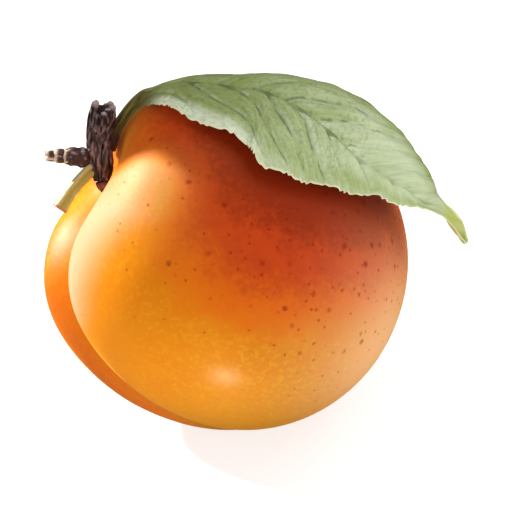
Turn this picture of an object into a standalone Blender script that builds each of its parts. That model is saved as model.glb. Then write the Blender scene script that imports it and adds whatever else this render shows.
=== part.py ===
"""Apricot picked with its fruiting spur: fruit, stalk, woody spur, side bud, cut leaf stalk and leaf.

Metres, +Z up. The origin is the middle of the flat spot the ripe fruit rests on. The stem end
points to -X and up, the suture runs down the -X side, and the leaf arches over the fruit to +X.
Everything but the empty is modelled about the middle of the fruit, so one empty places it all.
"""

import math

import bmesh
import bpy
import numpy as np

MM = 0.001

# Where the middle of the fruit sits above the flat spot
FRUIT_MIDDLE = (-1.87 * MM, 1.60 * MM, 23.37 * MM)

# The fruit's own axes: the stem axis is lifted from -X, turned toward +Y, and the suture rolled about it
STEM_LIFT = math.radians(31.3)
STEM_TURN = math.radians(8.3)
SUTURE_ROLL = math.radians(38.6)

# Body of the fruit
FRUIT_RADIUS = 23.5 * MM
STEM_END_GROWTH = 0.114                  # share of the radius added toward the stem
APEX_GROWTH = 0.056                      # share added toward the apex
CHEEK_CUT = 0.028                        # share taken off both cheeks
SHOULDER_LEAN = 0.027                    # one shoulder stands higher than the other
SHOULDER_SPREAD = 1.2                    # how soon that lean grows from the middle toward the stem

# Stem cavity: a wide bowl, a narrow funnel at its middle, and a raised rim
BOWL_DEPTH = 7.5 * MM
BOWL_REACH = 11.3 * MM
FUNNEL_DEPTH = 2.0 * MM
FUNNEL_REACH = 3.2 * MM
RIM_RISE = 0.5 * MM
RIM_AT = 9.5 * MM
RIM_REACH = 4.0 * MM

# Suture groove and the lobes that swell beside it
GROOVE_DEPTH = 5.0 * MM
GROOVE_REACH = 3.2 * MM
GROOVE_ROUND = 0.35 * MM
LOBE_RISE = (2.0 * MM, 0.65 * MM)        # far lobe, near lobe
LOBE_AT = 6.0 * MM
LOBE_REACH = 4.5 * MM
LOBE_BLEND = 4.0 * MM
# Angles down from the stem, radians, and the widths over which each change happens
GROOVE_BACK = -0.5
GROOVE_START = (-0.15, 0.5)
GROOVE_FADE = (0.7, 1.5)
GROOVE_FADE_SHARE = 0.62
GROOVE_END = (2.5, 0.6)

FRUIT_ROWS = 54
FRUIT_COLUMNS = 68
COLUMN_PINCH = 0.6                       # how strongly the columns crowd toward the suture
REST_MERGE = 0.05 * MM                   # corners nearer than this to the flat spot join its edge

TUBE_UP = (0.2, -1.0, 0.3)               # angles about stalks and twigs are a quarter turn on this side

# Stalk in the cavity, from the fruit to the spur: middle line and radii
STALK_LINE = ((-13.95, 2.0, 8.55), (-15.3, 2.25, 9.2), (-16.65, 2.8, 10.35))
STALK_RADII = (0.9, 1.15, 1.0)
STALK_GRID = (10, 14)                    # rings along it and corners about it

# Woody spur, bottom to broken top
SPUR_LINE = ((-16.9, 3.05, 10.9), (-17.0, 4.1, 12.7), (-17.2, 5.85, 15.5), (-16.8, 7.35, 18.2),
             (-16.5, 8.05, 19.7))
SPUR_RADII = (0.95, 1.45, 1.85, 1.5, 1.6)
SPUR_GRID = (20, 22)
SPUR_RIDGES = 5
SPUR_RIDGE_RISE = 0.09                   # share of the radius
SPUR_TWIST = 3                           # radians that the ridges turn along the spur
SPUR_KNOBS = (0.06, 9, 2)                # knobs: share of the radius, radians along it, turns about it
SPUR_BREAK = 0.5                         # how far the broken top's splinters rise, mm
SPLINTERS = (3, 7)                       # large and small splinters about the top
SMALL_SPLINTER = 0.6                     # share of the large ones' height

# Side bud: a thick foot and overlapping scales drawn in to a tip
BUD_LINE = ((-19.4, 4.45, 13.8), (-21.5, 4.4, 14.05), (-23.2, 4.35, 14.2), (-24.9, 4.25, 14.4))
BUD_RADII = (1.2, 1.45, 0.95, 0.35)
BUD_GRID = (22, 16)
BUD_SCALE_STEPS = 5
BUD_SCALE_RISE = 0.12                    # share of the radius
BUD_FOOT = 1 / 3                         # share of its length over which the scales start

# Stalk of the leaf that was cut away
CUT_STALK_LINE = ((-18.75, 3.2, 12.25), (-21.0, 1.7, 10.65), (-23.0, 0.1, 8.45))
CUT_STALK_RADII = (0.95, 0.9, 0.95)
CUT_STALK_GRID = (12, 18)
CUT_STALK_CHANNEL = 0.22                 # depth of the channel along it, share of the radius
CHANNEL_WIDTH = 0.45                     # radians

# Leaf: a line along it from the foot of its stalk to the curled tip; the blade starts at BLADE_START.
# Places across the blade are measured from this line, in mm, toward the near side.
LEAF_LINE = ((-15.75, 7.1, 13.2), (-14.5, 8.7, 16.4), (-11.1, 7.7, 21.8), (-5.6, 6.7, 23.9),
             (0.4, 4.9, 25.6), (6.7, 3.5, 26.4), (12.8, 1.0, 25.7), (18.3, -1.1, 22.8),
             (22.9, -2.8, 18.4), (26.6, -4.1, 13.4), (32.2, -5.5, 5.3))
BLADE_START = 2                          # point of LEAF_LINE where the blade starts
LEAF_NEAR_WIDTH = 15.6                   # widest reach of the near margin, mm
LEAF_WIDEST = 0.43                       # share of the blade's length
LEAF_TAPER_END = 0.90
LEAF_TAPER_SHAPE = 1.24
LEAF_BASE_SHAPE = (1.09, 0.55)
LEAF_TIP_HALF_WIDTH = 1.2                # mm
LEAF_TIP_GROWS = (0.5, 0.3)              # shares of the length: where the tip's width starts, over how much
LEAF_TIP_ROUNDS = 0.04                   # share of the length that rounds off the tip
LEAF_TIP_BLUNT = 0.08                    # least share left at the very end
FAR_WIDTH_SHARE = 0.58                   # far margin's reach, share of the near one's; it grows to 1
FAR_WIDENS = (0.5, 0.3)                  # shares of the length: where it starts to, and over how much
MIDRIB_SWAY = (0.7, 0.6, 13.4, 0.0)      # how far the midrib runs beside the line, mm, base to tip
MIDRIB_ROOM = 0.5                        # and at most this share of the near margin's reach
NEAR_DROOP = (-0.03, 0.23, 0.42, 0.52)   # slope down beside the line, radians, from base to tip
FAR_DROOP = (0.46, 0.07, -0.12, -0.12)
NEAR_CURL = 1 / 36                       # curvature across the blade, 1/mm
FAR_CURL = 1 / 18
LEAF_THICKNESS = 0.36                    # mm
STALK_RIB = 0.8                          # radius of the leaf's stalk, mm
BASE_RIB = 0.5                           # radius of the midrib at the blade's base, mm
TIP_RIB = 0.2
RIB_TAPER = 0.7
STALK_MERGE = 1 / 6                      # share of the blade's length before its base where the stalk thins
RIB_FLUSH = 0.7                          # share of the midrib's height that sinks into the upper face
RIB_FLUSH_BY = 1 / 4                     # by this share of the length
STALK_REACH = 0.98                       # how far its rings reach out, share of the stalk's radius
BLADE_SPREAD = 3                         # mm of half width over which a round stalk flattens to a blade
ACROSS_SHARES = (-1, -0.8, -0.6, -0.4, -0.22, -0.1, -0.05, 0, 0.05, 0.1, 0.22, 0.4, 0.6, 0.8, 1)
LEAF_STANDOFF = 0.85                     # least height of the blade over the fruit, mm
STANDOFF_BLEND = 0.6
STANDOFF_REACH = 30                      # blends above the standoff where the easing has died out
LEAF_STATIONS = 54
CURVE_STEPS = 40                         # fine steps between two points of a middle line

# Colour and roughness of each material
FINISHES = {
    "apricot_skin": ((0.80, 0.24, 0.05), 0.5),
    "stalk_bark": ((0.20, 0.05, 0.03), 0.7),
    "spur_bark": ((0.045, 0.025, 0.02), 0.8),
    "bud_scale": ((0.20, 0.11, 0.06), 0.75),
    "cut_stalk": ((0.55, 0.48, 0.16), 0.55),
    "leaf_green": ((0.30, 0.38, 0.20), 0.55),
}


def smooth(t):
    t = np.clip(t, 0, 1)
    return t * t * (3 - 2 * t)


def fruit_axes():
    """Columns: the fruit's suture side, near cheek and stem directions in the world."""
    stem = np.array((-math.cos(STEM_LIFT) * math.cos(STEM_TURN), math.cos(STEM_LIFT) * math.sin(STEM_TURN),
                     math.sin(STEM_LIFT)))
    side = np.array((0, 0, -1.0)) + stem * stem[2]
    side /= np.linalg.norm(side)
    suture = side * math.cos(SUTURE_ROLL) + np.cross(stem, side) * math.sin(SUTURE_ROLL)
    return np.stack((suture, np.cross(stem, suture), stem), axis=1)


def groove_strength(angle):
    """Depth of the suture, 0 to 1, by the angle down from the stem; nothing on the back of the fruit."""
    starts = smooth((angle - GROOVE_START[0]) / GROOVE_START[1])
    fades = 1 - GROOVE_FADE_SHARE * smooth((angle - GROOVE_FADE[0]) / GROOVE_FADE[1])
    ends = 1 - smooth((angle - GROOVE_END[0]) / GROOVE_END[1])
    return np.where(angle > GROOVE_BACK, starts * fades * ends, 0)


def fruit_radius(d):
    """Distance from the middle of the fruit to its skin along unit vectors in the fruit's own axes."""
    x, y, z = d[..., 0], d[..., 1], d[..., 2]
    up = smooth(z)
    r = FRUIT_RADIUS * (1 + STEM_END_GROWTH * up * z + APEX_GROWTH * smooth(-z) - CHEEK_CUT * y * y
                        + SHOULDER_LEAN * y * smooth(SHOULDER_SPREAD * z))
    from_stem = np.arccos(np.clip(z, -1, 1)) * FRUIT_RADIUS
    r = r - BOWL_DEPTH * np.exp(-((from_stem / BOWL_REACH) ** 2))
    r = r - FUNNEL_DEPTH * np.exp(-((from_stem / FUNNEL_REACH) ** 2))
    r = r + RIM_RISE * np.exp(-(((from_stem - RIM_AT) / RIM_REACH) ** 2))
    off = y * FRUIT_RADIUS
    strength = groove_strength(np.arctan2(x, z))
    across = np.sqrt(off * off + GROOVE_ROUND**2) - GROOVE_ROUND
    near = smooth(0.5 + off / LOBE_BLEND)
    lobe = LOBE_RISE[0] * (1 - near) + LOBE_RISE[1] * near
    swell = lobe * np.exp(-(((np.abs(off) - LOBE_AT) / LOBE_REACH) ** 2))
    return r + strength * (swell - GROOVE_DEPTH * np.exp(-across / GROOVE_REACH))


def material(name):
    colour, roughness = FINISHES[name]
    mat = bpy.data.materials.new(name)
    mat.use_nodes = True
    shader = mat.node_tree.nodes["Principled BSDF"]
    shader.inputs["Base Color"].default_value = (*colour, 1)
    shader.inputs["Roughness"].default_value = roughness
    shader.inputs["Metallic"].default_value = 0
    return mat


def add_object(name, bm, slot, parent):
    bmesh.ops.recalc_face_normals(bm, faces=bm.faces)
    for face in bm.faces:
        face.smooth = True
    mesh = bpy.data.meshes.new(name)
    bm.to_mesh(mesh)
    bm.free()
    mesh.materials.append(material(slot))
    obj = bpy.data.objects.new(name, mesh)
    bpy.context.scene.collection.objects.link(obj)
    obj.parent = parent
    return obj


def loft(sections):
    """Closed solid through rings of points, with a fan cap on each end."""
    bm = bmesh.new()
    rings = [[bm.verts.new(p) for p in ring] for ring in sections]
    count = len(rings[0])
    for low, high in zip(rings, rings[1:]):
        for i in range(count):
            j = (i + 1) % count
            bm.faces.new((low[i], low[j], high[j], high[i]))
    for ring in (rings[0], rings[-1]):
        middle = bm.verts.new(sum((np.array(v.co) for v in ring), np.zeros(3)) / count)
        for i in range(count):
            bm.faces.new((ring[i], ring[(i + 1) % count], middle))
    return bm


def curve_through(points, count):
    """Even points in metres along a smooth curve through points in mm, their tangents and shares."""
    p = np.array(points, float)
    p = np.vstack((2 * p[0] - p[1], p, 2 * p[-1] - p[-2]))
    fine, marks = [], []
    t = np.linspace(0, 1, CURVE_STEPS, endpoint=False)[:, None]
    for a, b, c, d in zip(p, p[1:], p[2:], p[3:]):
        marks.append(len(fine) * CURVE_STEPS)
        fine.append(0.5 * (2 * b + (c - a) * t + (2 * a - 5 * b + 4 * c - d) * t**2
                           + (3 * b - a - 3 * c + d) * t**3))
    marks.append(len(fine) * CURVE_STEPS)
    fine = np.vstack(fine + [p[-2:-1]])
    length = np.concatenate(((0,), np.cumsum(np.linalg.norm(np.diff(fine, axis=0), axis=1))))
    even = np.linspace(0, length[-1], count)
    line = np.stack([np.interp(even, length, fine[:, k]) for k in range(3)], axis=1)
    tangent = np.gradient(line, axis=0)
    tangent /= np.linalg.norm(tangent, axis=1, keepdims=True)
    return line * MM, tangent, even / length[-1], length[marks] / length[-1]


def cross_frames(tangent, up):
    side = np.cross(tangent, up)
    side /= np.linalg.norm(side, axis=1, keepdims=True)
    return side, np.cross(side, tangent)


def tube(line, radii, grid, shape):
    """Rings about a smooth middle line; shape(share along, angle) scales the radius."""
    rings, sides = grid
    middle, tangent, along, knots = curve_through(line, rings)
    side, normal = cross_frames(tangent, np.array(TUBE_UP))
    radius = np.interp(along, knots, radii) * MM
    angle = np.linspace(0, 2 * math.pi, sides, endpoint=False)
    sections = []
    for i in range(rings):
        r = radius[i] * shape(along[i], angle)
        sections.append(middle[i] + r[:, None] * (np.cos(angle)[:, None] * side[i]
                                                  + np.sin(angle)[:, None] * normal[i]))
    return sections, tangent


def build_fruit(parent):
    """The fruit: rows of skin from the stem to the apex, closer together beside the suture."""
    axes = fruit_axes()
    share = np.linspace(-1, 1, FRUIT_COLUMNS, endpoint=False)
    around = math.pi * ((1 - COLUMN_PINCH) * share + COLUMN_PINCH * share**3)
    bm = bmesh.new()
    rows = []
    for down in np.linspace(0, math.pi, FRUIT_ROWS)[1:-1]:
        d = np.stack((math.sin(down) * np.cos(around), math.sin(down) * np.sin(around),
                      np.full(FRUIT_COLUMNS, math.cos(down))), axis=1)
        rows.append([bm.verts.new(p) for p in (d * fruit_radius(d)[:, None]) @ axes.T])
    poles = []
    for z in (1.0, -1.0):
        d = np.array((0, 0, z))
        poles.append(bm.verts.new(axes @ d * float(fruit_radius(d))))
    for low, high in zip(rows, rows[1:]):
        for i in range(FRUIT_COLUMNS):
            j = (i + 1) % FRUIT_COLUMNS
            bm.faces.new((low[i], low[j], high[j], high[i]))
    for ring, pole in ((rows[0], poles[0]), (rows[-1], poles[1])):
        for i in range(FRUIT_COLUMNS):
            bm.faces.new((ring[i], ring[(i + 1) % FRUIT_COLUMNS], pole))
    flatten_rest(bm)
    return add_object("apricot_fruit", bm, "apricot_skin", parent)


def flatten_rest(bm):
    """Cut the skin level with the surface the fruit rests on and close it with one flat face."""
    everything = bm.verts[:] + bm.edges[:] + bm.faces[:]
    bmesh.ops.bisect_plane(bm, geom=everything, dist=REST_MERGE, plane_co=(0, 0, -FRUIT_MIDDLE[2]),
                           plane_no=(0, 0, -1), clear_outer=True)
    rim = [e for e in bm.edges if e.is_boundary]
    for edge in rim:
        for vert in edge.verts:
            vert.co.z = -FRUIT_MIDDLE[2]
    bmesh.ops.holes_fill(bm, edges=rim, sides=0)


def build_stalk(parent):
    """Short stalk standing on the floor of the cavity, swollen at its foot."""
    sections, _ = tube(STALK_LINE, STALK_RADII, STALK_GRID, lambda s, a: np.ones_like(a))
    return add_object("fruit_stalk", loft(sections), "stalk_bark", parent)


def build_spur(parent):
    """Woody spur: a ridged, knobby shoot whose top is broken off in splinters."""
    def ridged(s, a):
        knobs = 1 + SPUR_KNOBS[0] * np.sin(SPUR_KNOBS[1] * s + SPUR_KNOBS[2] * a)
        return knobs + SPUR_RIDGE_RISE * np.sin(SPUR_RIDGES * a + SPUR_TWIST * s)

    sections, tangent = tube(SPUR_LINE, SPUR_RADII, SPUR_GRID, ridged)
    angle = np.linspace(0, 2 * math.pi, SPUR_GRID[1], endpoint=False)
    small = SMALL_SPLINTER * np.sin(SPLINTERS[1] * angle + 1)
    splinters = SPUR_BREAK * MM * (np.sin(SPLINTERS[0] * angle) + small)
    sections[-1] = sections[-1] + splinters[:, None] * tangent[-1]
    return add_object("spur_twig", loft(sections), "spur_bark", parent)


def build_bud(parent):
    """Side bud: each overlapping scale ends in a small step."""
    def scaled(s, a):
        step = (s * BUD_SCALE_STEPS + a / (2 * math.pi)) % 1.0
        return 1 + BUD_SCALE_RISE * (1 - step) * smooth(s / BUD_FOOT)

    sections, _ = tube(BUD_LINE, BUD_RADII, BUD_GRID, scaled)
    return add_object("side_bud", loft(sections), "bud_scale", parent)


def build_cut_stalk(parent):
    """Stalk of the missing leaf, channelled along its upper side."""
    def channelled(s, a):
        return 1 - CUT_STALK_CHANNEL * np.exp(-(((a - 0.5 * math.pi) / CHANNEL_WIDTH) ** 2))

    sections, _ = tube(CUT_STALK_LINE, CUT_STALK_RADII, CUT_STALK_GRID, channelled)
    return add_object("cut_leaf_stalk", loft(sections), "cut_stalk", parent)


def bernstein(s, four):
    a, b, c, d = four
    t = 1 - s
    return a * t**3 + 3 * b * s * t * t + 3 * c * s * s * t + d * s**3


def blade_reach(s):
    """Near margin's reach in mm by the share of the length: round base, taper, drawn-out tip."""
    from_widest = np.clip(1 - s / LEAF_WIDEST, 0, 1)
    base = np.clip(1 - from_widest ** LEAF_BASE_SHAPE[0], 0, 1) ** LEAF_BASE_SHAPE[1]
    taper = np.clip((s - LEAF_WIDEST) / (LEAF_TAPER_END - LEAF_WIDEST), 0, 1)
    tapered = np.cos(0.5 * math.pi * taper) ** LEAF_TAPER_SHAPE
    wide = LEAF_NEAR_WIDTH * np.where(s < LEAF_WIDEST, base, tapered)
    rounded = np.sqrt(np.clip((1 - s) / LEAF_TIP_ROUNDS, LEAF_TIP_BLUNT, 1))
    tip = LEAF_TIP_HALF_WIDTH * smooth((s - LEAF_TIP_GROWS[0]) / LEAF_TIP_GROWS[1]) * rounded
    return np.where(s > 0, wide + tip, 0)


def keep_off_fruit(points):
    """Ease points outward until they clear the fruit by the standoff."""
    distance = np.linalg.norm(points, axis=-1)
    d = points / distance[..., None]
    least = fruit_radius(d @ fruit_axes()) + LEAF_STANDOFF * MM
    blend = STANDOFF_BLEND * MM
    over = np.minimum((distance - least) / blend, STANDOFF_REACH)
    eased = np.where(over < STANDOFF_REACH, least + blend * np.log1p(np.exp(over)), distance)
    return d * eased[..., None]


def leaf_surface(q, middle, side, normal, droop_near, droop_far):
    """Points at q mm across the blade, which bends down from its line on both sides."""
    near = q > 0
    droop = np.where(near, droop_near, droop_far)
    curl = np.where(near, NEAR_CURL, FAR_CURL)
    reach = np.abs(q)
    across = np.sign(q) * (np.sin(droop + curl * reach) - np.sin(droop)) / curl * MM
    down = (np.cos(droop) - np.cos(droop + curl * reach)) / curl * MM
    return middle + across[:, None] * side - down[:, None] * normal


def leaf_sections():
    """Rings about the leaf: the upper face from one margin to the other, then the lower face back."""
    middle, tangent, along, knots = curve_through(LEAF_LINE, LEAF_STATIONS)
    outward = middle / np.linalg.norm(middle, axis=1, keepdims=True)
    side, normal = cross_frames(tangent, outward)
    s = (along - knots[BLADE_START]) / (1 - knots[BLADE_START])
    rib = np.where(s < 0, STALK_RIB + (BASE_RIB - STALK_RIB) * smooth(1 + s / STALK_MERGE),
                   BASE_RIB + (TIP_RIB - BASE_RIB) * np.clip(s, 0, 1) ** RIB_TAPER)
    near_reach = np.maximum(blade_reach(s), rib * STALK_REACH)
    wide = smooth((near_reach - STALK_RIB) / BLADE_SPREAD)
    narrowed = (1 - FAR_WIDTH_SHARE) * (1 - smooth((s - FAR_WIDENS[0]) / FAR_WIDENS[1]))
    far_reach = near_reach * (1 - narrowed * wide)
    sway = np.minimum(bernstein(np.clip(s, 0, 1), MIDRIB_SWAY), MIDRIB_ROOM * near_reach) * wide
    share = np.array(ACROSS_SHARES)
    round_share = np.sin(0.5 * math.pi * np.linspace(-1, 1, len(share)))
    sections = []
    for i in range(LEAF_STATIONS):
        spread = share * wide[i] + round_share * (1 - wide[i])
        off = spread * np.where(spread > 0, near_reach[i] - sway[i], far_reach[i] + sway[i])
        near = bernstein(np.clip(s[i], 0, 1), NEAR_DROOP)
        far = bernstein(np.clip(s[i], 0, 1), FAR_DROOP)
        points = leaf_surface(sway[i] + off, middle[i], side[i], normal[i], near * wide[i], far * wide[i])
        if s[i] > 0:
            points = keep_off_fruit(points)
        bulge = np.sqrt(np.clip(rib[i] ** 2 - off * off, 0, None))
        top = np.maximum(0.5 * LEAF_THICKNESS, bulge * (1 - RIB_FLUSH * smooth(s[i] / RIB_FLUSH_BY)))
        bottom = np.maximum(0.5 * LEAF_THICKNESS, bulge)
        upper = points + top[:, None] * MM * normal[i]
        lower = points - bottom[:, None] * MM * normal[i]
        sections.append(np.concatenate((upper, lower[::-1])))
    return sections


def build_leaf(parent):
    return add_object("leaf", loft(leaf_sections()), "leaf_green", parent)


def build():
    for obj in list(bpy.data.objects):
        bpy.data.objects.remove(obj, do_unlink=True)
    middle = bpy.data.objects.new("picked_fruit", None)
    middle.location = FRUIT_MIDDLE
    bpy.context.scene.collection.objects.link(middle)
    for make in (build_fruit, build_stalk, build_spur, build_bud, build_cut_stalk, build_leaf):
        make(middle)
    bpy.context.view_layer.update()


build()
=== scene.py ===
"""Looks of the picked apricot: velvety skin, bark, bud scales and a toothed, veined leaf.

The shapes follow the same formulas as the CAD nodes they replace, with finer meshes and the relief,
teeth and ragged edges that the CAD leaves out. Metres, +Z up; the lines, radii and reliefs of the
small pieces are in mm.
"""

import math

import bpy
import numpy as np
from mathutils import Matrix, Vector, noise


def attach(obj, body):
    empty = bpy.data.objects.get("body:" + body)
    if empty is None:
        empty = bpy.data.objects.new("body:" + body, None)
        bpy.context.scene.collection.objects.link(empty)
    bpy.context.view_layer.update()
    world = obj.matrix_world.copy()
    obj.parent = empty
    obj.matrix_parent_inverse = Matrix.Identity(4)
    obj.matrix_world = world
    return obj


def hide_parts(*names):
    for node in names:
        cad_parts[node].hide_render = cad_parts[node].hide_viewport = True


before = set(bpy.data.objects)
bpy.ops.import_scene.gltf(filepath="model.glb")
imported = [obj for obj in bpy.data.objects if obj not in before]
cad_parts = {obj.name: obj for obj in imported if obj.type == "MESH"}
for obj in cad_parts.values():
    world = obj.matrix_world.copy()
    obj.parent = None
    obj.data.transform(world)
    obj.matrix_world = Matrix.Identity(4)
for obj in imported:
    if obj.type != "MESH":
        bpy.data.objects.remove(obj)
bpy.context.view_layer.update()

MM = 0.001
TURN = 2 * math.pi

# ---- Shape of the fruit, as in the CAD ----

FRUIT_MIDDLE = np.array((-1.87, 1.60, 23.37)) * MM
STEM_LIFT = math.radians(31.3)
STEM_TURN = math.radians(8.3)
SUTURE_ROLL = math.radians(38.6)
FRUIT_RADIUS = 23.5 * MM
STEM_END_GROWTH = 0.114
APEX_GROWTH = 0.056
CHEEK_CUT = 0.028
SHOULDER_LEAN = 0.027
BOWL_DEPTH = 7.5 * MM
BOWL_REACH = 11.3 * MM
FUNNEL_DEPTH = 2.0 * MM
FUNNEL_REACH = 3.2 * MM
RIM_RISE = 0.5 * MM
RIM_AT = 9.5 * MM
RIM_REACH = 4.0 * MM
GROOVE_DEPTH = 5.0 * MM
GROOVE_REACH = 3.2 * MM
GROOVE_ROUND = 0.35 * MM
# Along the suture, in radians from the stem: where a change of its depth starts, and how long it takes
GROOVE_STARTS = (-0.15, 0.5)
GROOVE_FADES = (0.7, 1.5)
GROOVE_FADE = 0.62                               # share of its depth
GROOVE_ENDS = (2.5, 0.6)
LOBE_RISE = (2.0 * MM, 0.65 * MM)
LOBE_AT = 6.0 * MM
LOBE_REACH = 4.5 * MM
LOBE_BLEND = 4.0 * MM
FRUIT_ROWS = 240
FRUIT_COLUMNS = 320
EVEN_COLUMNS = 0.4                               # share that is evenly spaced; the rest crowds to the suture


def smooth(t):
    """0 to 1, eased, while t goes from 0 to 1."""
    t = np.clip(t, 0, 1)
    return t * t * (3 - 2 * t)


def ease(x, start, length):
    """0 up to start, 1 from start + length on, eased between them."""
    return smooth((x - start) / length)


def hill(x, width):
    """1 where x is 0, falling to 0 on both sides."""
    return np.exp(-((x / width) ** 2))


def fruit_axes():
    """Columns: the fruit's suture side, near cheek and stem directions in the world."""
    stem = np.array((-math.cos(STEM_LIFT) * math.cos(STEM_TURN), math.cos(STEM_LIFT) * math.sin(STEM_TURN),
                     math.sin(STEM_LIFT)))
    side = np.array((0, 0, -1.0)) + stem * stem[2]
    side /= np.linalg.norm(side)
    suture = side * math.cos(SUTURE_ROLL) + np.cross(stem, side) * math.sin(SUTURE_ROLL)
    return np.stack((suture, np.cross(stem, suture), stem), axis=1)


def groove_strength(angle):
    """Depth of the suture, 0 to 1, by the angle down from the stem; nothing on the back of the fruit."""
    fades = 1 - GROOVE_FADE * ease(angle, *GROOVE_FADES)
    return ease(angle, *GROOVE_STARTS) * fades * (1 - ease(angle, *GROOVE_ENDS))


def fruit_radius(d):
    """Distance from the middle of the fruit to its skin along unit vectors in the fruit's own axes."""
    x, y, z = d[..., 0], d[..., 1], d[..., 2]
    up = smooth(z)
    r = FRUIT_RADIUS * (1 + STEM_END_GROWTH * up * z + APEX_GROWTH * smooth(-z) - CHEEK_CUT * y * y
                        + SHOULDER_LEAN * y * smooth(1.2 * z))
    from_stem = np.arccos(np.clip(z, -1, 1)) * FRUIT_RADIUS
    r = r - BOWL_DEPTH * hill(from_stem, BOWL_REACH) - FUNNEL_DEPTH * hill(from_stem, FUNNEL_REACH)
    r = r + RIM_RISE * hill(from_stem - RIM_AT, RIM_REACH)
    off = y * FRUIT_RADIUS
    strength = groove_strength(np.arctan2(x, z))
    across = np.sqrt(off * off + GROOVE_ROUND**2) - GROOVE_ROUND
    near = smooth(0.5 + off / LOBE_BLEND)
    lobe = LOBE_RISE[0] * (1 - near) + LOBE_RISE[1] * near
    swell = lobe * hill(np.abs(off) - LOBE_AT, LOBE_REACH)
    return r + strength * (swell - GROOVE_DEPTH * np.exp(-across / GROOVE_REACH))


# ---- Mesh helpers ----

CURVE_STEPS = 40                                 # fine points between two points of a line
TUBE_FACES = np.array((0.2, -1.0, 0.3))          # angle 90 degrees about a tube faces this way


def waves(points, size, seed):
    """Smooth noise from -1 to 1 at points in metres; features are about size mm across."""
    flat = points.reshape(-1, 3) / (size * MM) + seed
    return np.array([noise.noise(p) for p in flat]).reshape(points.shape[:-1])


class Shells:
    """Collects closed shells with their point values, and makes one piece of them."""

    def __init__(self):
        self.points, self.faces, self.values, self.count = [], [], {}, 0

    def add(self, rings, ends, **values):
        """A skin over rings of points (n, m, 3), closed at both ends by fans to the two end points."""
        n, m = rings.shape[:2]
        self.points.append(np.concatenate((rings.reshape(-1, 3), np.array(ends))))
        index = np.arange(n * m).reshape(n, m) + self.count
        turned = np.roll(index, -1, axis=1)
        quads = np.stack((index[:-1], turned[:-1], turned[1:], index[1:]), axis=-1).reshape(-1, 4)
        poles = self.count + n * m
        first = np.stack((turned[0], index[0], np.full(m, poles)), axis=1)
        last = np.stack((index[-1], turned[-1], np.full(m, poles + 1)), axis=1)
        self.faces += quads.tolist() + first.tolist() + last.tolist()
        for name, value in values.items():
            value = np.broadcast_to(value, rings.shape[:2] + np.shape(value)[2:])
            ends_value = np.stack((value[0].mean(0), value[-1].mean(0)))
            whole = np.concatenate((value.reshape((n * m,) + value.shape[2:]), ends_value))
            self.values.setdefault(name, []).append(whole)
        self.count += n * m + 2

    def piece(self, name, mat, slot, *nodes):
        mesh = bpy.data.meshes.new(name)
        mesh.from_pydata(np.concatenate(self.points).tolist(), [], self.faces)
        mesh.polygons.foreach_set("use_smooth", np.ones(len(mesh.polygons), bool))
        for key, parts in self.values.items():
            value = np.concatenate(parts)
            kind = "FLOAT_VECTOR" if value.ndim == 2 else "FLOAT"
            field = "vector" if value.ndim == 2 else "value"
            mesh.attributes.new(key, kind, "POINT").data.foreach_set(field, value.ravel().astype(np.float32))
        mesh.materials.append(mat)
        obj = bpy.data.objects.new(name, mesh)
        bpy.context.scene.collection.objects.link(obj)
        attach(obj, "root")
        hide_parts(*nodes)


def curve_through(points, count):
    """Evenly spaced points along a smooth curve through points in mm.

    Gives them in metres, their tangents, their shares of the length, the shares of the given points,
    and the length in mm.
    """
    p = np.array(points, float)
    p = np.vstack((2 * p[0] - p[1], p, 2 * p[-1] - p[-2]))
    fine, marks = [], []
    t = np.linspace(0, 1, CURVE_STEPS, endpoint=False)[:, None]
    for a, b, c, d in zip(p, p[1:], p[2:], p[3:]):
        marks.append(len(fine) * CURVE_STEPS)
        fine.append(0.5 * (2 * b + (c - a) * t + (2 * a - 5 * b + 4 * c - d) * t**2
                           + (3 * b - a - 3 * c + d) * t**3))
    marks.append(len(fine) * CURVE_STEPS)
    fine = np.vstack(fine + [p[-2:-1]])
    length = np.concatenate(((0,), np.cumsum(np.linalg.norm(np.diff(fine, axis=0), axis=1))))
    even = np.linspace(0, length[-1], count)
    line = np.stack([np.interp(even, length, fine[:, k]) for k in range(3)], axis=1)
    tangent = np.gradient(line, axis=0)
    tangent /= np.linalg.norm(tangent, axis=1, keepdims=True)
    return line * MM, tangent, even / length[-1], length[marks] / length[-1], length[-1]


def cross_frames(tangent, up):
    """Unit vectors across a line: sideways, and the one that leans toward up."""
    side = np.cross(tangent, up)
    side /= np.linalg.norm(side, axis=1, keepdims=True)
    return side, np.cross(side, tangent)


class Tube:
    """A round body about a smooth line: rings of points, and what a relief on it needs to know."""

    def __init__(self, line, radii, rings, sides):
        self.middle, self.tangent, self.along, knots, self.length = curve_through(line, rings)
        self.side, self.normal = cross_frames(self.tangent, TUBE_FACES)
        self.radius = np.interp(self.along, knots, radii)
        self.angle = np.linspace(0, TURN, sides, endpoint=False)
        self.s, self.a = np.meshgrid(self.along, self.angle, indexing="ij")
        # A place on the surface that has no seam: a circle across, and mm along.
        self.grain = np.stack((np.cos(self.a) * self.radius[:, None], np.sin(self.a) * self.radius[:, None],
                               self.s * self.length), axis=-1)

    def rings(self, scale):
        """Rings of points; scale is the share of the tube's radius at which each one lies."""
        cos, sin = np.cos(self.a)[..., None], np.sin(self.a)[..., None]
        out = cos * self.side[:, None] + sin * self.normal[:, None]
        radius = self.radius[:, None] * scale * MM
        return FRUIT_MIDDLE + self.middle[:, None] + radius[..., None] * out

    def ends(self, low=0.0, high=0.0):
        """The two end points, each moved on along the line by mm."""
        return (FRUIT_MIDDLE + self.middle[0] + low * MM * self.tangent[0],
                FRUIT_MIDDLE + self.middle[-1] + high * MM * self.tangent[-1])


def grain_waves(grain, across, along, seed):
    """Noise on a tube's surface, stretched along it: feature sizes in mm."""
    return waves(grain * np.array((1 / across, 1 / across, 1 / along)) * MM, 1.0, seed)


# ---- Material helper ----

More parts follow.
